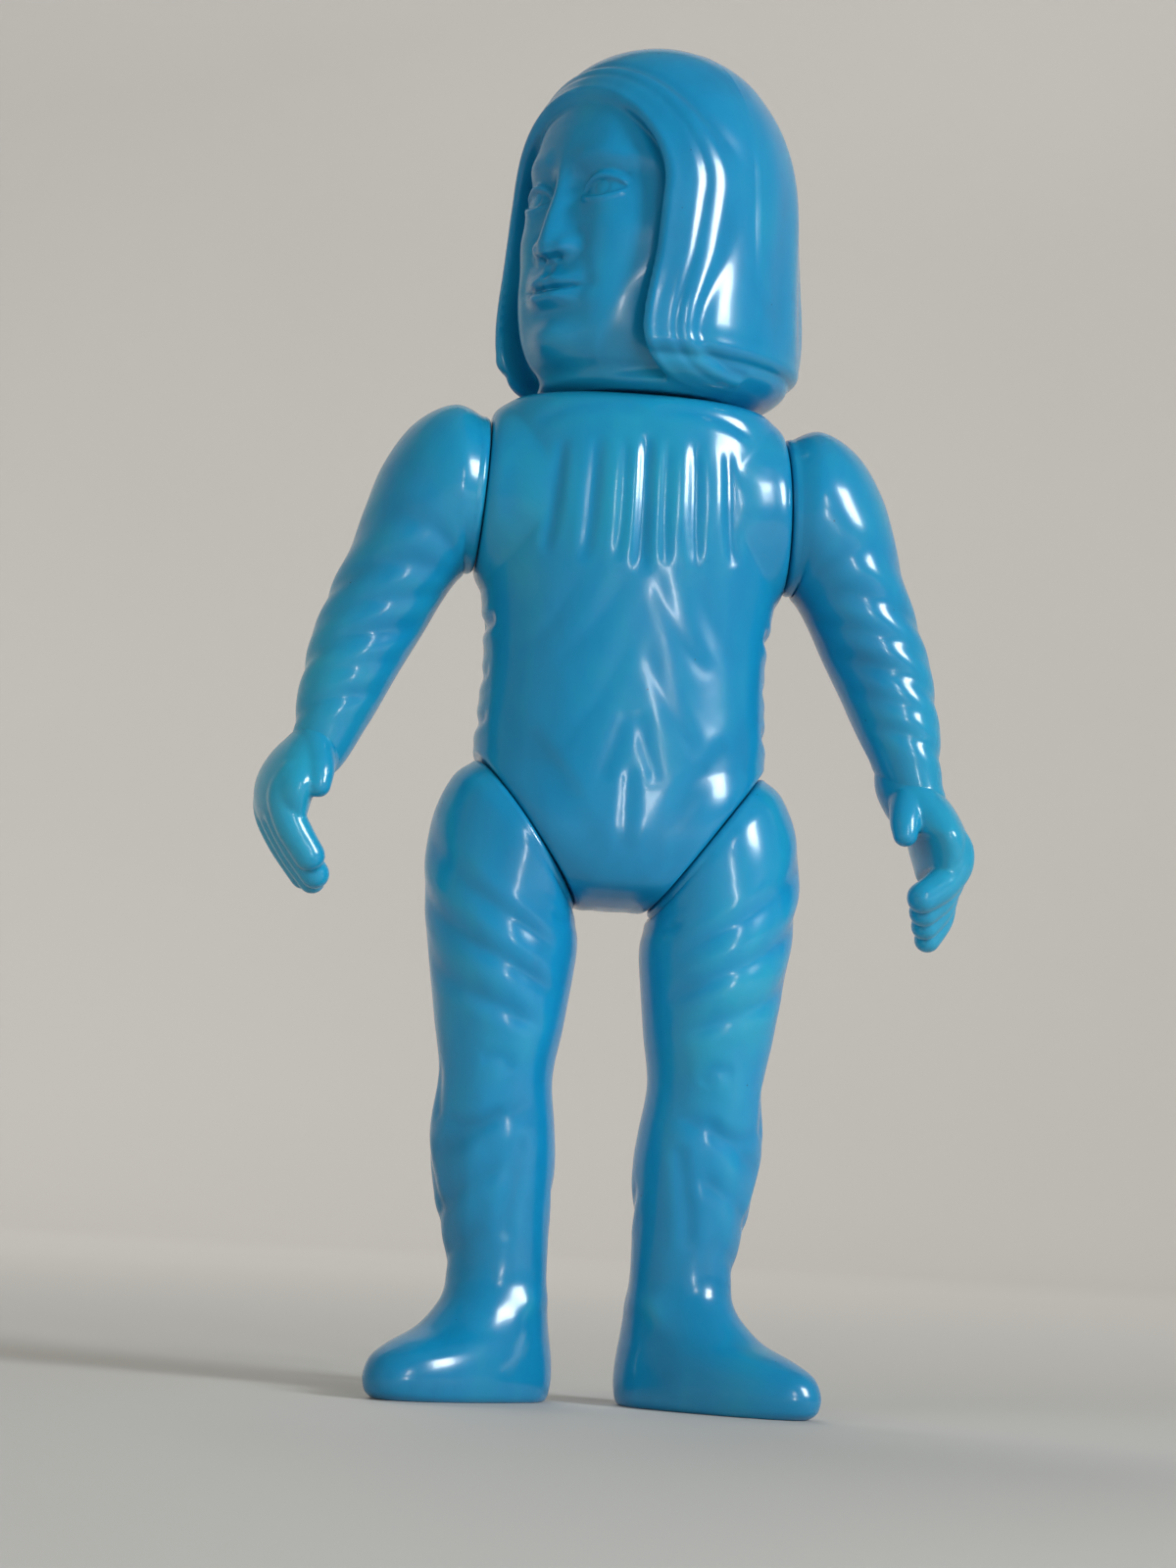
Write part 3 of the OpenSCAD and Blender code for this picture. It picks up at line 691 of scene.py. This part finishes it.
legShape = dict(
    # outwards, back and down from the joint face, slope, turn to the toes, half width, front and back reach
    sections=[
        (1, 0, 0.8, 36.5, 0, 15.5, 15.5, 15.5), (2.1, 0, 2.4, 44, 0, 16, 15.7, 15.7),
        (3.3, 0, 6.5, 54, 0, 15.7, 15.5, 15.5), (3.6, 0, 11.6, 65, 0, 14.8, 15.1, 15.1),
        (3.4, 0, 17.1, 74, 0, 13.7, 14.5, 14.5), (3.1, 0, 24.3, 81, 5, 12.4, 13.6, 13.6),
        (2.8, 0.3, 32.8, 87, 12, 11, 12, 12.2), (2.7, 0.8, 41.5, 90, 20, 9.6, 10.6, 10.8),
        (2.9, 1.6, 49.8, 90, 28, 10.5, 9.8, 11.6), (2.7, 2.2, 56, 90, 34, 10.6, 9.5, 11.8),
        (1.9, 2.6, 64.3, 90, 40, 9.6, 9.1, 10.4), (0.8, 2.9, 71, 90, 44, 8.7, 8.9, 9.2),
        (0.1, 3, 75.6, 90, 47, 8.3, 9.6, 8.8)],
    ankle=(-0.4, 3.0), toeOut=47, footLength=40,
    # height above the sole, half width, front and heel reach as shares of the foot's length
    foot=[
        (17.4, 8.3, 0.285, 0.222), (14.6, 8.4, 0.35, 0.228), (11.8, 8.7, 0.45, 0.238),
        (9.3, 9.2, 0.61, 0.248), (7, 9.6, 0.715, 0.254), (4, 9.8, 0.755, 0.256),
        (1.5, 9.5, 0.745, 0.248), (0.4, 9, 0.715, 0.238), (0, 8.4, 0.69, 0.224)],
    toeSwell=0.16, face=31, neck=9.2, rim=1.08, rows=300, columns=200)
# Places: mm down from the hip joint, then degrees around: 0 towards the toes, 90 outer side, 180 back
legForm = dict(
    around=360, bothSides=False,
    mounds=[
        (24, 8, 13, 8, 0.35), (36, -36, 6, 5, 0.4), (34, 44, 7, 5, 0.3), (26, 160, 13, 8, 0.3),
        (44, 0, 4.6, 4.6, 0.38), (55, 150, 9, 6, 0.4), (53, -150, 9, 6, 0.45), (81.5, 88, 2.8, 2.6, 0.6),
        (80, -88, 2.8, 2.6, 0.55), (78, 140, 6, 3, -0.4), (78, -140, 6, 3, -0.4)],
    # folds from the outer hip to the inner knee, then the knee, the hollow behind it and the calf
    creases=[
        oblique(15, -8.5, -44, 96, 1.6, 0.34), oblique(22.5, -9, -60, 110, 1.5, 0.42),
        oblique(30, -9, -52, 84, 1.4, 0.34), oblique(17, 14, -88, -34, 1.5, 0.26),
        oblique(52, 8, -64, 48, 1.6, 0.26), oblique(61, 9, -50, 76, 1.5, 0.26),
        oblique(69.5, 7, -30, 84, 1.4, 0.2), ([(14, 180), (26, 180), (38, 180)], 1.5, 0.3),
        ([(14, 132), (26, 126), (38, 134)], 1.3, 0.28), ([(41.6, -32), (38.8, -18), (39.4, 2)], 1.2, 0.2),
        ([(46.5, -30), (49.6, -14), (50.2, 8), (48.6, 26)], 1.2, 0.24),
        ([(40, 60), (45, 48), (50, 36)], 1.2, 0.26), ([(43.6, 128), (45, 180), (43.6, 232)], 1, 0.4),
        ([(49, 180), (57, 180), (65, 180)], 1.4, 0.36), ([(60, 112), (66, 146), (64.5, 178)], 1.4, 0.34),
        ([(58, -112), (64, -146), (63.5, -178)], 1.4, 0.34), ([(52, -6), (62, -5), (72, -3)], 2, -0.26),
        ([(52, 70), (59, 48), (66, 30)], 1.3, 0.28), ([(59, 92), (66, 70), (73, 54)], 1.3, 0.24),
        ([(51, -56), (60, -50), (70, -46)], 1.3, 0.26)])


def makeLegs():
    # the left leg is a stack of ovals from the joint face to the sole, and the right one mirrors it
    s = legShape
    face, out = limbFace("left_hip")
    a = fullTurn(s["columns"])
    foot = [(s["ankle"][0], s["ankle"][1], face[2] - z, 90, s["toeOut"], wide, front * s["footLength"],
             heel * s["footLength"]) for z, wide, front, heel in s["foot"]]
    sections = np.array(s["sections"] + foot)
    swell = s["toeSwell"] * smooth(20, 8, face[2] - sections[:, 2])
    sections = np.column_stack([sections, swell])
    last = len(sections) - 1

    def rings(t, inset=0.0):
        # ovals inside the leg's surface by inset, wider at the toes by swell
        r = rowsAt(sections, t)
        places = face + r[:, :3] * np.array([1, 1, -1])
        return ovals(places, r[:, 3], r[:, 4], r[:, 5] - inset, r[:, 6] - inset, r[:, 7] - inset, r[:, 8], a)

    grid = rings(evenly(rings, 0, last, s["rows"]))
    grid[..., 2] = np.maximum(grid[..., 2], 0)
    down = (face[2] - grid.mean(axis=1)[:, 2])[:, None]
    height = limbRelief(legForm, grid, down, face, out) * smooth(0, 3, grid[..., 2])
    body = grid + outward(grid) * height[..., None]
    body[..., 2] = np.maximum(body[..., 2], 0)
    inner = rings(np.arange(last - 2, 1, -1.0), casting["wall"] + casting["limbSlack"])
    sole = body[-1].mean(axis=0)
    soleRings = sole + (body[-1] - sole) * np.array([0.75, 0.5, 0.25])[:, None, None]
    height = np.concatenate([height, np.zeros((len(soleRings), len(a)))])
    allRings = np.concatenate([inner, limbJoint(face, out, s, a), body, soleRings])
    leg = closedMesh("leg", allRings, inner[0].mean(axis=0), sole, height)
    other = mirrored(leg, "otherLeg")
    finished(leg, "left_leg", "left_leg")
    finished(other, "right_leg", "right_leg")


makeLegs()


headShape = dict(
    crown=63.9, halfWidth=26.5, halfDepth=27, hangBack=2.3, turn=50, square=2.1, neck=9,
    rows=290, columns=320,
    # room left for the relief, inset and top of the hollow, and how much closer the columns are on the face
    trim=0.55, hollowInset=6.5, hollowTop=58.0, frontCrowd=1.9,
    # share of the height from the crown down, half width and half depth as shares of halfWidth and halfDepth
    sections=[
        (1, 0.02, 0.02), (0.998, 0.12, 0.12), (0.985, 0.27, 0.28), (0.955, 0.44, 0.46),
        (0.91, 0.585, 0.61), (0.85, 0.7, 0.73), (0.785, 0.792, 0.825), (0.71, 0.862, 0.895),
        (0.63, 0.905, 0.94), (0.54, 0.93, 0.965), (0.45, 0.942, 0.982), (0.36, 0.96, 0.99),
        (0.27, 0.98, 1), (0.19, 0.992, 0.998), (0.125, 0.982, 0.978), (0.07, 0.925, 0.92),
        (0.025, 0.81, 0.805), (0, 0.66, 0.66)])
hoodForm = dict(
    openingHalf=18.0, openingTop=51.2, chinNarrow=1.2, inset=1.9, sideInset=3.0,
    bandWidth=5.6, bandHeight=0.55, bandLine=0.2, foldHeight=0.34, foldTurn=30, backFolds=0.8,
    hemAt=6.0, hemDepth=0.4, seamHeight=0.07)
faceForm = dict(brow=38.4, eye=33.2, eyeApart=7.9, eyeHalf=4.2, noseBase=22.4, mouth=15.9, chin=7.2,
                noseReach=3.9, lipHalf=6.9)


def faceRelief(x, z):
    # forward height of the face: humps and grooves of forehead, brow, eyes, nose, cheeks, mouth and chin
    f, s = faceForm, np.abs(x)
    e, apart, base, lip = f["eye"], f["eyeApart"], f["noseBase"], f["lipHalf"]
    forehead = 0.8 * hump(z, 46, 8) * (1 - smooth(6, 17, s))
    browLine = f["brow"] + 1.2 * np.sin(np.pi * np.clip((s - 2) / 14, 0, 1) ** 0.8)
    brow = 1.05 * hump(z, browLine, 2.3) * smooth(0.6, 5, s) * (1 - smooth(10.5, 17, s))
    socket = (-2.0 * hump(s, apart - 0.5, 5.6) * hump(z, e + 0.6, 4.2)
              - 1.1 * hump(s, 3.9, 2.0) * hump(z, e + 1.2, 3.0))
    ball = 1.95 * np.exp(-(((s - apart) / 4.9) ** 2 + ((z - e) / 3.5) ** 2) ** 1.5)
    q = np.clip((s - apart) / f["eyeHalf"], -1, 1)
    lens = 1 - q * q
    upper, lower = e + 0.25 * q + 1.9 * lens ** 0.8, e + 0.25 * q - 1.25 * lens
    within = smooth(0, 0.3, lens)
    opened = within * smooth(lower - 0.25, lower + 0.3, z) * (1 - smooth(upper - 0.3, upper + 0.25, z))
    lids = within * (0.56 * hump(z, upper + 0.65, 0.62) + 0.34 * hump(z, lower - 0.55, 0.6)
                     - 0.24 * hump(z, upper + 1.9, 0.55))
    iris = -0.13 * hump(np.hypot(s - apart + 0.1, z - e - 0.35), 1.35, 0.3) * opened
    eyes = ball + lids - 0.34 * opened + iris
    ridge = np.interp(z, [20.4, 21.6, 22.8, 24.4, 28, 33, 37, 41, 46],
                      [0, 0.3, 0.84, 1.0, 0.8, 0.5, 0.32, 0.14, 0])
    width = np.interp(z, [20, 24, 28, 34, 40, 46], [2.9, 2.9, 2.5, 2.1, 2.8, 5.0])
    nose = f["noseReach"] * ridge * np.exp(-(s / width) ** 2.2)
    wings = 1.6 * hump(s, 3.5, 1.6) * hump(z, base + 1.2, 1.7)
    wings -= 0.22 * hump(np.hypot(s - 3.3, z - base - 1.3), 2.9, 0.8) * smooth(3.2, 4.8, s)
    nostrils = -0.85 * hump(s, 1.8, 0.8) * hump(z, base - 0.7, 0.7)
    cheeks = 1.3 * hump(s, 11.8, 5.4) * hump(z, 27, 5.8) + 0.4 * hump(s, 11, 4) * hump(z, 17, 6)
    t = np.clip((22.4 - z) / 8.0, 0, 1)
    fold = -0.2 * hump(s, 5.8 + 3.4 * t, 1.4) * smooth(0, 0.25, t) * (1 - smooth(0.7, 1.0, t))
    m = f["mouth"] + 0.012 * s * s
    muzzle = 1.5 * hump(s, 0, 8.4) * hump(z, 16.4, 5.6)
    bow = 0.28 * hump(s, 1.5, 1.1) - 0.15 * hump(s, 0, 0.7)
    lips = (1.3 * hump(z, m + 1.35 + bow, 1.15) * (1 - smooth(2.0, lip + 0.3, s))
            + 1.7 * hump(z, m - 1.6, 1.4) * (1 - smooth(1.8, lip - 0.3, s))
            - 0.8 * hump(z, m, 0.45) * (1 - smooth(lip - 2.4, lip + 0.4, s))
            - 0.34 * hump(s, lip + 0.3, 1.3) * hump(z, m, 1.4))
    philtrum = -0.18 * hump(s, 0, 0.9) * hump(z, 19.4, 1.6) + 0.1 * hump(s, 1.6, 0.8) * hump(z, 19.4, 1.6)
    chin = 2.5 * hump(s, 0, 5.2) * hump(z, f["chin"], 3.4) - 0.5 * hump(s, 0, 5.5) * hump(z, 11.6, 1.7)
    # the jaw draws in towards the neck below a line that rises from the chin to the ears
    jaw = -2.6 * smooth(-1.5, 4.5, s - 7.0 - 0.42 * z) * (1 - smooth(14, 26, z)) - 1.2 * smooth(4.6, 1.5, z)
    return (forehead + brow + socket + eyes + nose + wings + nostrils + cheeks + fold + muzzle + lips
            + philtrum + chin + jaw)


def openingDepth(x, z):
    # how far inside the hood's opening: half width - |x|, and in its arch - the distance to its centre
    h = hoodForm
    half = h["openingHalf"]
    spring = h["openingTop"] - half
    r = np.where(z > spring, np.hypot(x, z - spring), np.abs(x) + h["chinNarrow"] * smooth(24, 4, z))
    return half - r


def hoodRelief(around, z, depth):
    # folds and pressed lines, and apart from them the band round the opening and the hem along the lower edge
    h = hoodForm
    wide = h["bandWidth"]
    band = h["bandHeight"] * smooth(-wide - 0.7, -wide + 0.6, depth) * (1 - smooth(-1.0, 0.2, depth))
    band += h["bandHeight"] * 0.35 * hump(depth, -0.95, 0.6)
    lines = -h["bandLine"] * hump(depth, -wide + 1.7, 0.45) - 0.26 * hump(depth, -wide - 0.6, 0.7)
    # soft folds, deeper downwards and to the back: cosines of around over foldTurn that lean as they fall
    ease = smooth(60, 12, z) * smooth(5.5, 15, z) * smooth(-wide - 1.5, -wide - 9, depth)
    ease *= 1 + h["backFolds"] * smooth(85, 140, np.abs(around))
    lean = 0.55 * np.sin(z / 9.0) + 0.35 * np.sin(np.radians(around) * 3 + 0.6)
    wave = np.cos(2 * np.pi * around / h["foldTurn"] + 2.2 * lean)
    slow = np.cos(np.pi * around / h["foldTurn"] * 0.7 + 1.3)
    folds = h["foldHeight"] * ease * (0.5 * wave - 0.35 + 0.25 * slow)
    hem = 0.3 * hump(z, h["hemAt"] + 0.9, 1.1) - h["hemDepth"] * hump(z, h["hemAt"] - 1.2, 0.8)
    return lines + folds, band + hem * smooth(0.2, -0.6, depth)


def makeHead():
    # skin = ovals + outward normal x relief of the hood, drawn back in its opening to carry the face
    s, h = headShape, hoodForm
    mid = joints["neck"][0] + up * casting["gap"]
    u = np.linspace(-1, 1, s["columns"], endpoint=False)
    turn = np.pi * u * (1 - (1 - 1 / s["frontCrowd"]) * (1 - u * u))
    last = len(s["sections"]) - 1

    def rings(t, inset=s["trim"]):
        # rounded ovals inside the surface by inset, angle 0 towards the face
        r = rowsAt(s["sections"], t)
        w, d = s["halfWidth"] * r[:, 1:2] - inset, s["halfDepth"] * r[:, 2:3] - inset
        x, y = roundedOval(w, d, s["square"], turn)
        return np.stack([x, s["hangBack"] - y, s["crown"] * r[:, :1] + 0 * turn], -1)

    def crowd(z):
        # rows twice as close on the face as on the crown
        return 1 + smooth(3, 6, z) * (1 - smooth(42, 48, z))

    grid = rings(evenly(rings, last, 0, s["rows"], 900, crowd))
    x, y, z = grid[..., 0], grid[..., 1], grid[..., 2]

    depth = np.where(y < s["hangBack"], openingDepth(x, z), -50)
    inside = smooth(-0.3, 1.5, depth)
    pressed, edges = hoodRelief(np.degrees(turn), z, depth)
    seam = h["seamHeight"] * hump(y, s["hangBack"], 0.3) * smooth(8, 12, z)
    height = (edges + pressed + seam) * smooth(0, 3, z)
    shaped = grid + outward(grid) * height[..., None]
    # the face lies back inside the opening, more so at its sides, and its relief is raised forwards
    base = smooth(0, 4, z)
    setBack = h["inset"] + h["sideInset"] * smooth(7.5, 18.5, np.abs(x))
    shaped[..., 1] -= inside * base * (faceRelief(x, z) - setBack)
    # the tip of the nose hangs a little
    shaped[..., 2] -= inside * 0.85 * hump(x, 0, 3.2) * hump(z, faceForm["noseBase"] + 0.8, 1.5)

    def placed(p):
        # turned about the neck's axis and set on it
        return p @ turnedBy(-s["turn"]) + mid

    wall = casting["wall"]
    mouth = s["neck"] + casting["clearance"]
    ring = np.stack([np.sin(turn), -np.cos(turn), 0 * turn], -1)
    bore = ring * mouth + np.array([0, 0, wall]) * np.array([1.0, 0.0])[:, None, None]
    rim = np.array([1.0, 0.6, 0.25])[:, None, None] * (ring * mouth - grid[0]) + grid[0]
    rim[..., 2] = 0
    inner = rings(np.arange(3.0, last - 1), s["hollowInset"])
    floor = inner[-1].copy()
    floor[:, 2] = wall
    hollowTop, crown = (np.array([0, s["hangBack"], z]) for z in (s["hollowTop"], s["crown"]))
    allRings = np.concatenate([inner, [floor], bore, rim[1:], shaped])
    head = closedMesh("head", placed(allRings), placed(hollowTop), placed(crown), pressed * (1 - inside))
    finished(head, "head", "head", 50)


makeHead()


stageLook = dict(
    floorReach=1.5, curve=0.8, wallHeight=2.4, columns=96, colour=(0.478, 0.46, 0.452), mottle=0.04,
    mottleSize=0.5, gloss=0.7, room=(0.55, 0.58, 0.43), roomStrength=0.3)
cameraPlace = dict(at=(-66.9, -636.5, 35), heading=5.55, pitch=6.3, roll=3.2, lens=85.7)
# where each lamp stands, what it looks at, its two sides, power and colour
lamps = dict(
    windowKey=((1.04, -0.8, 0.68), (0, 0, 0.13), (0.36, 0.48), 16.2, (0.88, 0.955, 1.0)),
    stripBox=((0.37, -1.14, 0.41), (0, 0, 0.14), (0.07, 0.22), 0.9, (0.96, 0.98, 1.0)),
    lowStrip=((0.32, -1.15, 0.1), (0, 0, 0.1), (0.05, 0.17), 0.8, (0.96, 0.98, 1.0)))
# these light the vinyl and the paper without a highlight of their own
softLamps = dict(
    frontFill=((0.45, -1.75, 0.42), (0, 0, 0.08), (1.4, 0.6), 8.0, (1.0, 1.0, 0.89)),
    sideFill=((-1.25, -1.15, 0.62), (0, 0, 0.13), (0.9, 0.9), 7.5, (1.0, 1.0, 0.93)),
    backFill=((-0.5, 1.45, 1.6), (0, 0, 0.12), (1.4, 0.7), 15, (1.0, 1.0, 0.95)),
    wallWash=((0, 0.5, 1.9), (0, 2.3, 1.5), (1.6, 0.8), 29, (1.0, 0.99, 0.95)))


def makeBackdrop():
    # round paper sweep: floor to floorReach, r = floorReach + R sin b, z = R (1 - cos b), then the wall
    s = stageLook
    b = np.radians(np.linspace(0, 90, 32))
    floor, curve = s["floorReach"], s["curve"]
    r = np.concatenate([[0.02, 0.3, 0.8], floor + curve * np.sin(b), [floor + curve]])
    z = np.concatenate([[0, 0, 0], curve * (1 - np.cos(b)), [s["wallHeight"]]])
    turn = fullTurn(s["columns"])
    rings = np.stack([r[:, None] * np.cos(turn), r[:, None] * np.sin(turn), z[:, None] + 0 * turn], -1)
    quads = ringQuads(len(r), len(turn))[:, ::-1]
    mesh = bpy.data.meshes.new("backdrop")
    mesh.from_pydata(rings.reshape(-1, 3).tolist(), [], quads.tolist() + [list(range(len(turn)))])
    mesh.shade_smooth()
    paper = bpy.data.materials.new("palePaper")
    paper.use_nodes = True
    tree = paper.node_tree
    shader = tree.nodes["Principled BSDF"]
    place = tree.nodes.new("ShaderNodeTexCoord").outputs["Object"]
    mottle = added(tree, "ShaderNodeTexNoise", Vector=place, Scale=1 / s["mottleSize"])
    tones = [tuple(c * share for c in s["colour"]) for share in (1 - s["mottle"], 1 + s["mottle"])]
    feed(tree, shader.inputs["Base Color"], coloured(tree, mottle, list(enumerate(tones))))
    shader.inputs["Roughness"].default_value = s["gloss"]
    mesh.materials.append(paper)
    backdrop = newObject("backdrop", mesh)


def posed(thing, side, top, back, at):
    # the object's three directions and its place are the columns of its matrix
    columns = np.column_stack([side, top, back, at])
    thing.matrix_world = Matrix(np.vstack([columns, [0, 0, 0, 1]]).tolist())


def addLight(name, at, aim, size, power, colour, glossy):
    # a soft rectangle looking from at towards aim
    light = bpy.data.lights.new(name, "AREA")
    light.shape, light.size, light.size_y = "RECTANGLE", *size
    light.energy, light.color = power, colour
    back = unitOf(np.subtract(at, aim))
    side = unitOf(np.cross(up, back))
    lamp = newObject(name, light)
    posed(lamp, side, np.cross(back, side), back, at)
    lamp.visible_glossy = glossy


def makeCamera():
    # forward from heading and pitch; side and top turned about it by the roll
    c = cameraPlace
    h, p, r = np.radians([c["heading"], c["pitch"], c["roll"]])
    forward = np.array([np.sin(h) * np.cos(p), np.cos(h) * np.cos(p), np.sin(p)])
    side = unitOf(np.cross(forward, up))
    top = np.cross(side, forward)
    side, top = side * np.cos(r) + top * np.sin(r), top * np.cos(r) - side * np.sin(r)
    camera = newObject("camera", bpy.data.cameras.new("camera"))
    camera.data.lens, camera.data.sensor_width = c["lens"], 36
    posed(camera, side, top, -forward, np.array(c["at"]) * mm)
    bpy.context.scene.camera = camera


def makeStage():
    # backdrop, lamps, an even room light and the camera
    makeBackdrop()
    for name, values in lamps.items():
        addLight(name, *values, True)
    for name, values in softLamps.items():
        addLight(name, *values, False)
    room = bpy.data.worlds.new("room")
    room.use_nodes = True
    background = room.node_tree.nodes["Background"].inputs
    background["Color"].default_value = (*stageLook["room"], 1)
    background["Strength"].default_value = stageLook["roomStrength"]
    bpy.context.scene.world = room
    bpy.context.scene.view_settings.view_transform = "Standard"
    makeCamera()


makeStage()
print("stage made")
